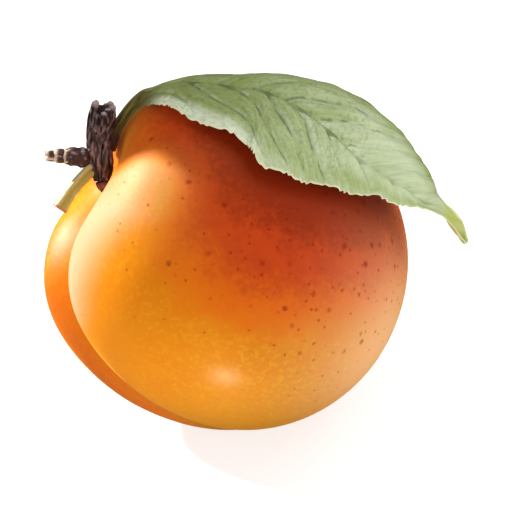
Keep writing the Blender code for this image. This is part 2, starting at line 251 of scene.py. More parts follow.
class Paint:
    """Adds linked shader nodes to one material, a short call each."""

    def __init__(self, name):
        self.mat = bpy.data.materials.new(name)
        self.mat.use_nodes = True
        self.tree = self.mat.node_tree
        self.shader = self.tree.nodes["Principled BSDF"]

    def feed(self, socket, value):
        """Link a socket to an input, or set the input to a value."""
        if isinstance(value, bpy.types.NodeSocket):
            self.tree.links.new(value, socket)
        elif hasattr(value, "__len__") and len(value) == 3 and socket.type == "RGBA":
            socket.default_value = (*value, 1)
        else:
            socket.default_value = value

    def node(self, kind, inputs, output=0, **settings):
        node = self.tree.nodes.new(kind)
        for key, value in settings.items():
            setattr(node, key, value)
        for key, value in inputs.items():
            self.feed(node.inputs[key], value)
        return node.outputs[output]

    def value(self, name, output="Fac"):
        return self.node("ShaderNodeAttribute", {}, output, attribute_name=name)

    def place(self):
        return self.node("ShaderNodeTexCoord", {}, "Object")

    def math(self, operation, *values):
        return self.node("ShaderNodeMath", dict(enumerate(values)), operation=operation)

    def scaled(self, place, *factors):
        return self.node("ShaderNodeVectorMath", {0: place, 1: factors}, operation="MULTIPLY")

    def noise(self, place, size, detail=2.0, roughness=0.5):
        """Noise from about 0 to 1; features are about size metres across, or mm where place is in mm."""
        return self.node("ShaderNodeTexNoise", {"Vector": place, "Scale": 1 / size, "Detail": detail,
                                                "Roughness": roughness})

    def step(self, value, low, high, to_low=0.0, to_high=1.0):
        """Eases from to_low to to_high while the value goes from low to high."""
        return self.node("ShaderNodeMapRange", {"Value": value, "From Min": low, "From Max": high,
                                                "To Min": to_low, "To Max": to_high},
                         interpolation_type="SMOOTHSTEP")

    def mix(self, share, low, high):
        """A colour between two colours."""
        return self.node("ShaderNodeMix", {0: share, 6: low, 7: high}, 2, data_type="RGBA")

    def sum(self, *terms):
        """Sum of (value, weight) pairs."""
        total = 0.0
        for value, weight in terms:
            total = self.math("MULTIPLY_ADD", value, weight, total)
        return total

    def product(self, first, *others):
        for other in others:
            first = self.math("MULTIPLY", first, other)
        return first

    def bump(self, height, depth):
        """A height from 0 to 1 that stands for depth metres."""
        self.feed(self.shader.inputs["Normal"],
                  self.node("ShaderNodeBump", {"Height": height, "Distance": depth, "Strength": 1.0}))

    def finish(self, colour, **inputs):
        self.feed(self.shader.inputs["Base Color"], colour)
        for key, value in inputs.items():
            self.feed(self.shader.inputs[key.replace("_", " ")], value)
        return self.mat


# ---- Fruit ----

# Blush: a base and spots, each with its direction from the fruit's middle, rise and sharpness. Where it runs
# highest, under the leaf, it carries painted shade as well as blush, and the second spot lowers it to the
# yellow ground where the key light's highlight falls, a painted highlight.
BLUSH_BASE = -5.38
BLUSH_SPOTS = (((0.469, 0.437, 0.767), 6.66, 0.26),
               ((-0.467, -0.459, 0.755), -1.9, 60.0),
               ((0.06, -0.834, 0.548), 0.95, 5.0),
               ((0.10, -0.30, 0.95), 0.95, 9.0),
               ((0.74, -0.36, 0.56), 1.15, 9.0))
BLUSH_LIMITS = (-1.5, 2.5)
PALE_SIDE = np.array((0.45, -0.30, -0.84))       # the ground colour pales this way
SUNNY_SIDE = np.array((0.62, -0.30, 0.72))       # freckles crowd here
RUBBED_SPOT = ((-0.04, -0.99, -0.13), 80.0)      # direction and sharpness; the bloom is rubbed off here
# Tints laid over the skin in this order: strength and colour
TINTS = {"gold": (0.88, (0.64, 0.200, 0.001)),
         # painted light: the pale haze that floor light and sheen give the lower right rim
         "floor_light_peach": (0.90, (0.94, 0.50, 0.23)),
         # painted shade: darker towards the front of the fruit's underside
         "underside_shade": (0.90, (0.37, 0.135, 0.003)),
         "amber": (0.72, (0.44, 0.200, 0.040)),
         # painted shade on the far lobe's lower part
         "far_lobe_shade": (0.80, (0.50, 0.085, 0.002)),
         "honey": (0.85, (0.50, 0.26, 0.001)),
         # painted highlight of the key light beside the suture
         "cream_highlight": (0.88, (0.64, 0.34, 0.20))}
# Direction and sharpness of the first four; the others lie along the suture
TINT_SPOTS = {"gold": ((-0.73, -0.67, -0.06), 5.0),
              "floor_light_peach": ((0.84, -0.48, -0.28), 9.0),
              "underside_shade": ((0.0, -0.70, -0.71), 8.0),
              "amber": ((-0.42, -0.46, 0.78), 42.0)}
FRECKLES = ((2.4, 0.98, 0.82), (1.3, 0.91, 0.70))  # pitch in mm, how few of the cells have one, opacity
FRECKLE_COLOUR = (0.27, 0.014, 0.003)


def spot(directions, middle, sharpness):
    middle = np.array(middle) / np.linalg.norm(middle)
    return np.exp(-sharpness * (1 - directions @ middle))


def skin_material():
    """Yellow ground under an orange and red blush, all of it mottled, its deepest red painted shade under the
    leaf; tints and freckles over it, some of the tints painted light and shade.
    """
    p = Paint("apricot_velvet_skin")
    place = p.place()
    broad = p.noise(place, 8 * MM)
    patchy = p.noise(place, 2.4 * MM, 3.0)
    stipple = p.noise(place, 0.7 * MM, 2.0)
    grain = p.noise(place, 0.28 * MM, 2.0)
    pale = p.sum((p.value("pale"), 1.0), (broad, 0.5), (1.0, -0.25))
    colour = p.mix(p.step(broad, 0.35, 0.65), (0.62, 0.185, 0.002), (0.58, 0.152, 0.001))
    colour = p.mix(p.step(pale, 0.1, 0.9), colour, (0.54, 0.200, 0.007))
    colour = p.mix(p.step(patchy, 0.48, 0.72, 0.0, 0.40), colour, (0.62, 0.130, 0.001))
    colour = p.mix(p.step(stipple, 0.45, 0.72, 0.0, 0.50), colour, (0.70, 0.33, 0.010))
    blush = p.sum((p.value("blush"), 1.0), (broad, 0.40), (patchy, 0.45), (stipple, 0.75), (1.0, -0.80))
    red = p.mix(p.step(patchy, 0.35, 0.65), (0.52, 0.046, 0.007), (0.48, 0.041, 0.007))
    colour = p.mix(p.step(blush, -0.25, 0.5), colour, (0.64, 0.105, 0.003))
    colour = p.mix(p.step(blush, 0.35, 1.1), colour, red)
    # painted shade: the deepest red, where the value runs highest under the leaf
    colour = p.mix(p.step(blush, 1.15, 1.9), colour, (0.29, 0.020, 0.004))
    for name, (strength, tint) in TINTS.items():
        colour = p.mix(p.product(p.value(name), strength), colour, tint)
    colour = p.mix(freckles(p, place), colour, FRECKLE_COLOUR)
    p.bump(p.sum((grain, 0.35), (stipple, 0.35), (patchy, 0.3)), 0.05 * MM)
    rough = p.sum((p.step(grain, 0.3, 0.7, 0.42, 0.50), 1.0), (p.value("rubbed"), -0.24))
    return p.finish(colour, Roughness=rough, Specular_IOR_Level=0.15, Specular_Tint=(1.0, 0.80, 0.35),
                    Subsurface_Weight=0.15, Subsurface_Radius=(1.0, 0.30, 0.08), Subsurface_Scale=1.5 * MM,
                    Sheen_Weight=0.25, Sheen_Roughness=0.28, Sheen_Tint=(1.0, 0.60, 0.08))


def freckles(p, place):
    """Scattered small dots of two sizes, more of them where the sun reached."""
    wobble = p.noise(place, 0.3 * MM)
    sunny = p.value("sunny")
    shares = []
    for pitch, crowd, opacity in FRECKLES:
        cell = p.node("ShaderNodeTexVoronoi", {"Vector": place, "Scale": 1 / (pitch * MM)}, "Distance")
        chance = cell.node.outputs["Color"]
        kept = p.step(p.sum((chance, 1.0), (sunny, 0.55)), crowd - 0.30, crowd + 0.05)
        size = p.sum((cell, 1.0), (wobble, 0.25), (kept, -0.10), (sunny, -0.07), (1.0, 0.06))
        shares.append(p.product(p.step(size, 0.08, 0.30, 1.0, 0.0), kept, opacity))
    return p.math("MAXIMUM", *shares)


def suture_tints(d):
    """Shares of the three tints beside the suture.

    Cream is a painted highlight of the key light: a pale strip on its near side and a patch across it. Russet
    is painted shade on the far lobe's lower part, and honey tints its shoulder. off is mm from the suture's
    plane, and angle is the turn about it from the stem.
    """
    off, angle = d[..., 1] * FRUIT_RADIUS / MM, np.arctan2(d[..., 0], d[..., 2])
    # the pale strip and patch are painted highlight of the key light
    reach = 20 - 12 * np.clip(angle - 0.15, 0, None)
    top = ease(angle + 0.04 * off, 0.32, 0.12) * (0.6 + 0.4 * ease(angle, -0.05, 0.25))
    highlight_band = smooth((reach - off) / 8) * smooth(off / 4) * top * (1 - ease(angle, 0.8, 0.2))
    patch = hill(angle - 0.40, 0.12) * hill(off + 3.7, 1.6)
    # painted shade on the far lobe's lower part
    lower = ease(angle, 0.44, 0.32) * (1 - ease(angle, 1.6, 0.6))
    return {"cream_highlight": highlight_band + patch, "far_lobe_shade": lower * hill(off + 4.5, 4.0),
            "honey": hill(angle - 0.14, 0.14) * hill(off + 6.0, 3.0)}


def skin_points(d, axes):
    """Points of the skin; what would sink below the rest is pressed flat on it."""
    points = FRUIT_MIDDLE + (d * fruit_radius(d)[..., None]) @ axes.T
    points[..., 2] = np.maximum(points[..., 2], 0)
    return points


def build_fruit():
    axes = fruit_axes()
    share = np.linspace(-1, 1, FRUIT_COLUMNS, endpoint=False)
    around = math.pi * (EVEN_COLUMNS * share + (1 - EVEN_COLUMNS) * share**3)[None]
    down = np.linspace(0, math.pi, FRUIT_ROWS)[1:-1, None]
    d = np.stack((np.sin(down) * np.cos(around), np.sin(down) * np.sin(around),
                  np.broadcast_to(np.cos(down), (len(down), FRUIT_COLUMNS))), axis=-1)
    poles = np.array(((0, 0, 1.0), (0, 0, -1.0)))
    outward = d @ axes.T
    blush = BLUSH_BASE + sum(rise * spot(outward, middle, sharpness)
                             for middle, rise, sharpness in BLUSH_SPOTS)
    tints = {name: spot(outward, *place) for name, place in TINT_SPOTS.items()}
    shells = Shells()
    shells.add(skin_points(d, axes), skin_points(poles, axes), blush=np.clip(blush, *BLUSH_LIMITS),
               pale=outward @ PALE_SIDE, sunny=np.clip(outward @ SUNNY_SIDE, 0, 1),
               rubbed=spot(outward, *RUBBED_SPOT), **tints, **suture_tints(d))
    shells.piece("fruit", skin_material(), "apricot_skin", "apricot_fruit")


# ---- Stalk, spur, bud and cut stalk ----

STALK_LINE = ((-13.95, 2.0, 8.55), (-15.3, 2.25, 9.2), (-16.65, 2.8, 10.35), (-16.9, 3.0, 10.9))
STALK_RADII = (0.9, 1.15, 1.0, 1.0)
SPUR_LINE = ((-16.9, 3.05, 10.9), (-17.0, 4.1, 12.7), (-17.2, 5.85, 15.5), (-16.8, 7.35, 18.2),
             (-16.5, 8.05, 19.7))
SPUR_RADII = (1.25, 1.75, 1.9, 1.5, 1.25)
# Bark strands on the spur: angle about it, share along it where they start and end, radius in mm
STRANDS = ((0.9, 0.30, 1.05, 0.58), (1.75, 0.45, 0.95, 0.52), (2.5, 0.22, 1.08, 0.56),
           (3.3, 0.50, 0.93, 0.46), (4.1, 0.35, 1.01, 0.56), (5.0, 0.10, 0.97, 0.50),
           (5.8, 0.40, 1.07, 0.60), (0.2, 0.55, 0.92, 0.54), (1.3, 0.05, 0.58, 0.48),
           (2.1, 0.08, 0.52, 0.42), (2.95, 0.02, 0.44, 0.38), (0.5, 0.12, 0.55, 0.42),
           (6.2, 0.62, 1.00, 0.54), (5.4, 0.66, 1.03, 0.52), (1.3, 0.70, 1.00, 0.50),
           (3.7, 0.68, 1.04, 0.46), (2.1, 0.62, 0.90, 0.60), (4.6, 0.60, 0.88, 0.56))
STRAND_SINK = 0.80                               # how far out their middles run, share of the spur's radius
STRAND_SPLAY = 0.35                              # how much farther out that is at the top
STRAND_TAPER = np.array((0.45, 0.9, 1.0, 1.0, 0.8))  # their radius along them
BARK_LEVEL = 0.88                                # the bark's mean radius, share of the spur's or bud's
BUD_LINE = ((-18.5, 4.55, 13.65), (-19.4, 4.45, 13.8), (-21.3, 4.4, 14.05), (-22.9, 4.35, 14.2))
BUD_RADII = (1.1, 1.45, 1.3, 0.5)
BUD_RINGS = 3
BUD_RING_BACK = 0.3                              # share of a ring that its steep side takes
SCALE_THICKNESS = 0.17                           # half of it, in mm
# Dry scales at the bud's end: turn about it, flare in radians, where they start in mm, length, half width
SCALES = ((0.1, 0.42, -1.9, 2.5, 1.12), (1.3, 0.55, -1.7, 2.3, 1.04), (2.5, 0.38, -2.0, 2.6, 1.10),
          (3.8, 0.58, -1.8, 2.3, 1.08), (5.0, 0.46, -2.0, 2.5, 1.12),
          (0.7, 0.34, -0.7, 2.4, 0.86), (2.0, 0.42, -0.5, 2.2, 0.80), (3.2, 0.30, -0.8, 2.5, 0.88),
          (4.4, 0.44, -0.6, 2.3, 0.82), (5.6, 0.36, -0.7, 2.4, 0.86),
          (1.0, 0.10, 0.8, 2.0, 0.66), (3.0, 0.14, 0.9, 1.9, 0.64), (5.1, 0.08, 0.8, 2.1, 0.68))
CUT_STALK_LINE = ((-17.9, 3.75, 12.75), (-18.75, 3.2, 12.25), (-20.85, 1.65, 10.55), (-22.8, 0.1, 8.35))
CUT_STALK_RADII = (0.8, 0.9, 0.88, 0.98)
CHANNEL_FACES = 0.5 * math.pi                    # angle about the cut stalk that its channel faces
CHANNEL_WIDTH = 0.38                             # rad on each side
CHANNEL_DEPTH = 0.34                             # share of the radius, as the next two
RAIL_RISE = 0.05
CUT_FLARE = 0.10
RAIL_AT = 0.95                                   # rad from the channel
RAIL_WIDTH = 0.75                                # rad on each side


def bark_material(name, dark, light, tip, across, along, depth):
    """Ridged bark: ridge tops painted light as highlight over hollows painted dark as shade, and a pale tip
    on edges, which is the bud scales' own pale rim and a painted highlight on the spur's splinter ends.

    across and along are the size of the ridges in mm, and depth is their height.
    """
    p = Paint(name)
    grain = p.value("grain", "Vector")
    ridge = p.noise(p.scaled(grain, 1 / across, 1 / across, 1 / along), 1.0, 3.0, 0.6)
    fine = p.noise(grain, 0.16, 2.0)
    height = p.sum((ridge, 0.7), (fine, 0.3))
    p.bump(height, depth * MM)
    # raised ridges painted lighter as highlight, hollows darker as shade
    crest = p.sum((height, 0.8), (p.value("crest"), 0.6))
    colour = p.mix(p.step(crest, 0.62, 1.1), dark, light)
    colour = p.mix(p.product(p.value("edge"), p.step(fine, 0.3, 0.6, 0.5, 1.0)), colour, tip)
    return p.finish(colour, Roughness=0.55, Specular_IOR_Level=0.5)


def build_stalk():
    tube = Tube(STALK_LINE, STALK_RADII, 50, 48)
    relief = 0.08 * grain_waves(tube.grain, 0.5, 1.2, 3.0) + 0.03 * np.sin(tube.s * 24)
    shells = Shells()
    shells.add(tube.rings(0.95 + relief), tube.ends(), grain=tube.grain, crest=smooth(0.5 + 4 * relief),
               edge=np.zeros_like(tube.s))
    mat = bark_material("stalk_bark_red", dark=(0.10, 0.018, 0.012), light=(0.35, 0.09, 0.05),
                        tip=(0.4, 0.2, 0.1), across=0.35, along=1.2, depth=0.08)
    shells.piece("stalk", mat, "stalk_bark", "fruit_stalk")


def spur_strand(spur, angle, start, end, radius, seed):
    """A rounded strand of bark along the spur; past the spur's top it stands free as a splinter."""
    share = np.linspace(start, end, 5)
    wander = angle + 0.22 * np.sin(5 * share + seed)
    inside = np.clip(share, 0, 1)
    middle, side, normal, out = (
        np.stack([np.interp(inside, spur.along, field[:, k]) for k in range(3)], axis=1)
        for field in (spur.middle, spur.side, spur.normal, spur.tangent))
    around = np.cos(wander)[:, None] * side + np.sin(wander)[:, None] * normal
    splay = STRAND_SINK + STRAND_SPLAY * ease(share, 0.6, 0.5)
    reach = splay * np.interp(inside, spur.along, spur.radius)
    line = middle / MM + reach[:, None] * around + ((share - inside) * spur.length)[:, None] * out
    return Tube(line, radius * STRAND_TAPER, 60, 20)


def build_spur():
    spur = Tube(SPUR_LINE, SPUR_RADII, 110, 90)
    ridges = np.sin(7 * spur.a + 3 * spur.s + 1.5 * grain_waves(spur.grain, 1.2, 4.0, 11.0))
    rough = grain_waves(spur.grain, 0.45, 1.8, 7.0)
    knobs = 0.06 * np.sin(15 * spur.s + 2 * spur.a)
    relief = 0.07 * ridges + 0.12 * rough + knobs
    shells = Shells()
    shells.add(spur.rings(BARK_LEVEL + relief), spur.ends(0, -0.9), grain=spur.grain,
               crest=smooth(0.4 + 2.4 * relief), edge=np.zeros_like(spur.s))
    for seed, (angle, start, end, radius) in enumerate(STRANDS):
        strand = spur_strand(spur, angle, start, end, radius, seed)
        relief = 0.22 * grain_waves(strand.grain, 0.35, 1.0, 20.0 + seed)
        rounded = np.sqrt(np.clip(1 - ((strand.s - 0.94) / 0.06).clip(0) ** 2, 0.02, 1))
        # the pale tip on the splinter ends is a painted highlight
        tip = ease(strand.s, 0.86, 0.12) * (end > 0.9)
        shells.add(strand.rings((1 + relief) * rounded), strand.ends(0, 0.05), grain=strand.grain,
                   crest=smooth(0.55 + 2.0 * relief), edge=0.8 * tip)
    mat = bark_material("spur_bark_dark", dark=(0.010, 0.004, 0.005), light=(0.30, 0.165, 0.140),
                        tip=(0.60, 0.45, 0.41), across=0.30, along=1.6, depth=0.12)
    shells.piece("spur", mat, "spur_bark", "spur_twig")


def bud_scale(bud, turn, flare, start, length, half_width, seed):
    """One dry, cupped scale that leans out from the bud and ends in a ragged point.

    Gives its rings of points, their places in its grain, and 1 on its edges.
    """
    axis = bud.tangent[-1]
    foot = bud.middle[-1] / MM + (start - 1.2) * axis
    out = math.cos(turn) * bud.side[-1] + math.sin(turn) * bud.normal[-1]
    beside = np.cross(axis, out)
    s = np.linspace(0, 1, 26)[:, None]
    a = np.linspace(0, TURN, 28, endpoint=False)[None]
    lean = flare * (1.0 - 0.9 * s * s)
    rise = (0.55 + length * s * np.sin(lean))[..., None] * out
    line = foot + rise + (length * s * np.cos(lean))[..., None] * axis
    around = np.stack(np.broadcast_arrays(3 * s, np.cos(a), np.sin(a) + seed), axis=-1)
    ragged = 1 + 0.22 * waves(around * MM, 0.6, seed)
    width = half_width * np.sqrt(np.clip(1.02 - ((s - 0.48) / 0.54) ** 2, 0.30, 1)) * ragged
    across, thick = width * np.cos(a), SCALE_THICKNESS * np.sin(a)
    cup = 0.55 * across**2 / half_width
    rings = line + across[..., None] * beside - (cup + thick)[..., None] * out
    edge = np.maximum(ease(np.abs(np.cos(a)), 0.70, 0.2), ease(s, 0.74, 0.16))
    edge = edge * ease(s, 0.15, 0.3)
    grain = np.stack(np.broadcast_arrays(across, cup + thick, length * s), axis=-1)
    return FRUIT_MIDDLE + rings * MM, grain, edge


def build_bud():
    bud = Tube(BUD_LINE, BUD_RADII, 90, 64)
    step = (bud.s * BUD_RINGS + 0.12 * np.sin(2 * bud.a) + 0.1 * grain_waves(bud.grain, 1.0, 2.0, 4.0)) % 1.0
    ring = 0.10 * np.minimum(step / (1 - BUD_RING_BACK), (1 - step) / BUD_RING_BACK)
    relief = ring + 0.14 * grain_waves(bud.grain, 0.5, 0.9, 5.0)
    shells = Shells()
    shells.add(bud.rings(BARK_LEVEL + relief), bud.ends(0, 1.4), grain=bud.grain,
               crest=smooth(6 * (relief - 0.02)), edge=0.35 * ease(bud.s, 0.72, 0.2))
    for seed, scale in enumerate(SCALES):
        rings, grain, edge = bud_scale(bud, *scale, seed)
        shells.add(rings, (rings[0].mean(0), rings[-1].mean(0)), grain=grain,
                   crest=0.50 + 0.20 * edge, edge=edge)
    mat = bark_material("bud_scales", dark=(0.035, 0.014, 0.014), light=(0.28, 0.14, 0.10),
                        tip=(0.62, 0.48, 0.34), across=0.30, along=0.8, depth=0.06)
    shells.piece("bud", mat, "bud_scale", "side_bud")


def cut_stalk_material():
    """Cream rails on both sides of a green channel, a darker belly and a brown cut end."""
    p = Paint("cut_stalk_green")
    grain = p.value("grain", "Vector")
    fibre = p.noise(p.scaled(grain, 4, 4, 0.5), 1.0, 2.0)
    belly = p.mix(p.step(fibre, 0.3, 0.7), (0.26, 0.24, 0.04), (0.38, 0.35, 0.09))
    colour = p.mix(p.value("rail"), belly, (0.46, 0.41, 0.20))
    colour = p.mix(p.value("channel"), colour, (0.30, 0.30, 0.05))
    cut = p.product(p.value("cut"), p.step(fibre, 0.2, 0.6, 0.6, 1.0))
    colour = p.mix(cut, colour, (0.36, 0.15, 0.08))
    p.bump(fibre, 0.03 * MM)
    return p.finish(colour, Roughness=0.45, Subsurface_Weight=0.2, Subsurface_Scale=0.8 * MM)


def build_cut_stalk():
    tube = Tube(CUT_STALK_LINE, CUT_STALK_RADII, 70, 64)
    facing = np.abs((tube.a - CHANNEL_FACES + math.pi) % TURN - math.pi)
    channel = hill(facing, CHANNEL_WIDTH)
    rail = smooth(1 - np.abs(facing - RAIL_AT) / RAIL_WIDTH)
    flare = CUT_FLARE * ease(tube.s, 0.85, 0.15)
    ragged = 0.06 * grain_waves(tube.grain, 0.5, 1.5, 9.0)
    shells = Shells()
    shells.add(tube.rings(0.98 - CHANNEL_DEPTH * channel + RAIL_RISE * rail + flare + ragged),
               tube.ends(0, -0.45), grain=tube.grain, channel=channel, rail=rail,
               cut=ease(tube.s, 0.94, 0.03))
    shells.piece("cut_stalk", cut_stalk_material(), "cut_stalk", "cut_leaf_stalk")


# ---- Leaf ----

LEAF_LINE = ((-15.75, 7.1, 13.2), (-14.5, 8.7, 16.4), (-11.1, 7.7, 21.8), (-5.6, 6.7, 23.9),
             (0.4, 4.9, 25.6), (6.7, 3.5, 26.4), (12.8, 1.0, 25.7), (18.3, -1.1, 22.8),
             (22.9, -2.8, 18.4), (26.6, -4.1, 13.4), (32.2, -5.5, 5.3))
BLADE_START = 2
LEAF_NEAR_WIDTH = 15.6
LEAF_WIDEST = 0.43
LEAF_TAPER_END = 0.90
LEAF_TIP_HALF_WIDTH = 1.2
FAR_WIDTH_SHARE = 0.58
MIDRIB_SWAY = (0.7, 0.6, 13.4, 0.0)
MIDRIB_ROOM = 0.5
NEAR_DROOP = (-0.03, 0.23, 0.42, 0.52)
FAR_DROOP = (0.46, 0.07, -0.12, -0.12)
NEAR_CURL = 1 / 36
FAR_CURL = 1 / 18
LEAF_THICKNESS = 0.30
STALK_RIB = 0.8                                  # the midrib's half widths: stalk, blade's base and tip
BASE_RIB = 0.5
TIP_RIB = 0.2
LEAF_STANDOFF = 0.85
STANDOFF_BLEND = 0.6
STALK_STANDOFF = 0.3                             # share of the leaf's standoff for its stalk
FAR_OFF = 30                                     # blends from the fruit where a point is left as it is
LEAF_STATIONS = 360
LEAF_ACROSS = 131

STALK_FACES = np.array((-0.15, -0.80, 0.58))     # where the channelled side of its stalk faces
STALK_WING = 3.0                                 # mm of blade beside the top of its stalk, near side only
VEIN_PITCH = 5.6                                 # mm along the midrib
FIRST_VEIN = 1.6                                 # mm; on the far side it is half a pitch farther along
VEIN_LEAN = (1.15, 0.045)                        # mm along the midrib for each mm across, and its growth
VEIN_SINK = 0.30                                 # mm
VEIN_WIDTH = 0.55                                # mm on each side, of the sunk part
CRINKLE = 0.07                                   # mm
TOOTH_PITCH = 1.45                               # mm
TOOTH_RISE = 0.46                                # mm
TOOTH_BACK = 0.3                                 # share of the pitch that a tooth's steep side takes
FAR_BITE = 0.35                                  # the far margin's teeth, share of the near one's
RUFFLE = 0.30                                    # mm that the margin waves up and down
TIP_CURL = 0.75                                  # mm that the tip's edges turn up
TIP_WIDENS = 0.7                                 # mm more on each side of the tip


def bernstein(s, four):
    a, b, c, d = four
    t = 1 - s
    return a * t**3 + 3 * b * s * t * t + 3 * c * s * s * t + d * s**3


def blade_reach(s):
    """Near margin's reach in mm by the share of the length: round base, taper, drawn-out tip."""
    base = np.clip(1 - np.clip(1 - s / LEAF_WIDEST, 0, 1) ** 1.09, 0, 1) ** 0.55
    taper = np.clip((s - LEAF_WIDEST) / (LEAF_TAPER_END - LEAF_WIDEST), 0, 1)
    wide = LEAF_NEAR_WIDTH * np.where(s < LEAF_WIDEST, base, np.cos(0.5 * math.pi * taper) ** 1.24)
    tip = LEAF_TIP_HALF_WIDTH * ease(s, 0.5, 0.3) * np.clip((1 - s) / 0.04, 0.08, 1) ** 0.5
    return np.where(s > 0, wide + tip, 0)


def keep_off_fruit(points, closer):
    """Ease points outward until they clear the fruit: by the standoff, and by less where closer nears 1."""
    distance = np.linalg.norm(points, axis=-1)
    d = points / distance[..., None]
    nearer = 1 - (1 - STALK_STANDOFF) * closer
    least = fruit_radius(d @ fruit_axes()) + LEAF_STANDOFF * nearer * MM
    blend = STANDOFF_BLEND * nearer * MM
    over = np.minimum((distance - least) / blend, FAR_OFF)
    eased = np.where(over < FAR_OFF, least + blend * np.log1p(np.exp(over)), distance)
    return d * eased[..., None]


def teeth(u, reach, phase):
    """How far the margin falls back between its forward-pointing teeth, 0 to 1."""
    margin = np.concatenate(((0,), np.cumsum(np.hypot(np.diff(u), np.diff(reach)))))
    wobble = 0.35 * np.sin(0.7 * margin + phase) + 0.25 * np.sin(1.9 * margin + 2 * phase)
    tooth = (margin / TOOTH_PITCH + wobble) % 1.0
    face = 1 - TOOTH_BACK
    height = np.where(tooth < face, smooth(tooth / face), smooth((1 - tooth) / TOOTH_BACK))
    return (1 - height) * (0.7 + 0.3 * np.sin(1.1 * margin + phase))


def vein_offset(u, w):
    """Mm beyond the nearest side vein, by the place along the midrib and beside it, both in mm."""
    reach = np.abs(w)
    first = np.where(w > 0, FIRST_VEIN, FIRST_VEIN + 0.5 * VEIN_PITCH)
    start = u - VEIN_LEAN[0] * reach - VEIN_LEAN[1] * reach**2 - first
    start = start + 0.5 * np.sin(0.9 * start + 1.0) + 0.25 * np.sin(1.3 * reach + 0.7 * start)
    off = ((start / VEIN_PITCH + 0.5) % 1.0 - 0.5) * VEIN_PITCH
    return off / np.sqrt(1 + (VEIN_LEAN[0] + 2 * VEIN_LEAN[1] * reach) ** 2)


def leaf_outline(s, u):
    """The blade by the share s of its length, which is below 0 on the stalk; lengths in mm.

    Gives the near and far margins' reach, the midrib's half width and its sway to the near side, and
    how much the section is a flat blade and not a round stalk, 0 to 1.
    """
    rib = np.where(s < 0, STALK_RIB + (BASE_RIB - STALK_RIB) * smooth(1 + 6 * s),
                   BASE_RIB + (TIP_RIB - BASE_RIB) * np.clip(s, 0, 1) ** 0.7)
    near = np.maximum(blade_reach(s), rib * 0.98)
    wide = smooth((near - STALK_RIB) / 3)
    narrowed = (1 - FAR_WIDTH_SHARE) * (1 - ease(s, 0.5, 0.3))
    far = rib + (near * (1 - narrowed * wide) - rib) * smooth(s / 0.13)
    sway = np.minimum(bernstein(np.clip(s, 0, 1), MIDRIB_SWAY), MIDRIB_ROOM * near) * wide
    bite = TOOTH_RISE * wide * smooth(20 * s) * (0.35 + 0.65 * ease(near, 1.5, 5))
    wider = TIP_WIDENS * ease(s, 0.86, 0.06) * np.clip((1 - s) / 0.05, 0, 1) ** 0.5
    near, far = near + wider, far + wider
    wing = ease(s, -0.19, 0.08) * (1 - ease(s, -0.03, 0.07))
    near = near - bite * teeth(u, near, 0.0) + STALK_WING * wing
    far = far - FAR_BITE * bite * teeth(u, far, 2.0)
    return near, far, rib, sway, wide


def leaf_surface(q, spread, s, u, wide, middle, side, normal):
    """Points at q mm across the blade; spread is the same from -1 at the far margin to 1 at the near one.

    The blade bends down from its line, its margin waves and its tip curls.
    """
    clipped = np.clip(s, 0, 1)
    droop = np.where(q > 0, (bernstein(clipped, NEAR_DROOP) * wide)[:, None],
                     (bernstein(clipped, FAR_DROOP) * wide)[:, None])
    curl = np.where(q > 0, NEAR_CURL, FAR_CURL)
    reach = np.abs(q)
    across = np.sign(q) * (np.sin(droop + curl * reach) - np.sin(droop)) / curl
    down = (np.cos(droop) - np.cos(droop + curl * reach)) / curl
    rim = ease(np.abs(spread), 0.55, 0.45) * wide[:, None]
    wave = np.where(q > 0, 1, FAR_BITE) * RUFFLE * rim * np.sin(0.95 * u[:, None] + np.where(q > 0, 1.0, 2.6))
    tip = ease(s, 0.86, 0.08) * (1 - 0.6 * ease(s, 0.95, 0.05))
    up = wave + TIP_CURL * tip[:, None] * spread**2 - down
    points = middle[:, None] + (across[..., None] * side[:, None] + up[..., None] * normal[:, None]) * MM
    return keep_off_fruit(points, 1 - ease(s, -0.02, 0.08)[:, None])


def vein_relief(u, w, spread, blade):
    """Mm that the upper face sinks, by the place u along the midrib and w beside it in mm.

    Also gives the distances to the nearest side vein and to the midrib, and the share of the pale side beside
    each vein that is painted highlight.
    """
    beyond_vein = vein_offset(u, w)
    vein_off = np.minimum(np.abs(beyond_vein), 3)
    rib_off = np.minimum(np.abs(w), 3)
    fades = 1 - 0.7 * spread**2
    groove = hill(vein_off, VEIN_WIDTH) * fades + hill(rib_off, VEIN_WIDTH)
    puff = 0.5 * smooth(vein_off / 1.6) * fades
    between = np.stack((0.9 * u - 0.55 * np.abs(w), 0.35 * w, np.zeros_like(w)), axis=-1)
    sink = (VEIN_SINK * (groove - puff) + CRINKLE * waves(between * MM, 0.9, 31.0)) * blade
    return sink, vein_off, rib_off, hill(beyond_vein - 0.5, 0.3) * fades


def leaf_shades(u, w, spread):
    """Shares of the pale near margin, which is painted highlight, of the lighter and darker greens, which are
    painted light and shade, and of the drawn veins over the blade.
    """
    near_share = np.where(w > 0, np.abs(spread), 0)
    far_share = np.where(w < 0, np.abs(spread), 0)
    # The pale strip along the near margin is painted highlight where the folded margin catches the light.
    band_start = 0.56 + 0.16 * ease(u, 9, 10)
    highlight_band = ease(near_share, band_start, 0.26) * (1 - 0.8 * ease(u, 17, 12))
    # painted light and shade: the greens lighten along the blade and darken towards its margins
    light = ease(u, 4, 34) * smooth(1.15 - 0.9 * far_share**2)
    light = light * (1 - 0.45 * ease(near_share, 0.25, 0.6) * ease(u, 22, 12))
    light = 0.20 + 0.62 * light * (1 - 0.40 * ease(far_share, 0.55, 0.4))
    light = light - 0.30 * ease(far_share, 0.60, 0.35) * ease(u, 16, 12)
    drawn = ease(u, 3, 6) * (1 - 0.85 * ease(u, 31, 9)) * (1 - 0.6 * smooth(2 * spread - 1))
    return highlight_band, light, drawn


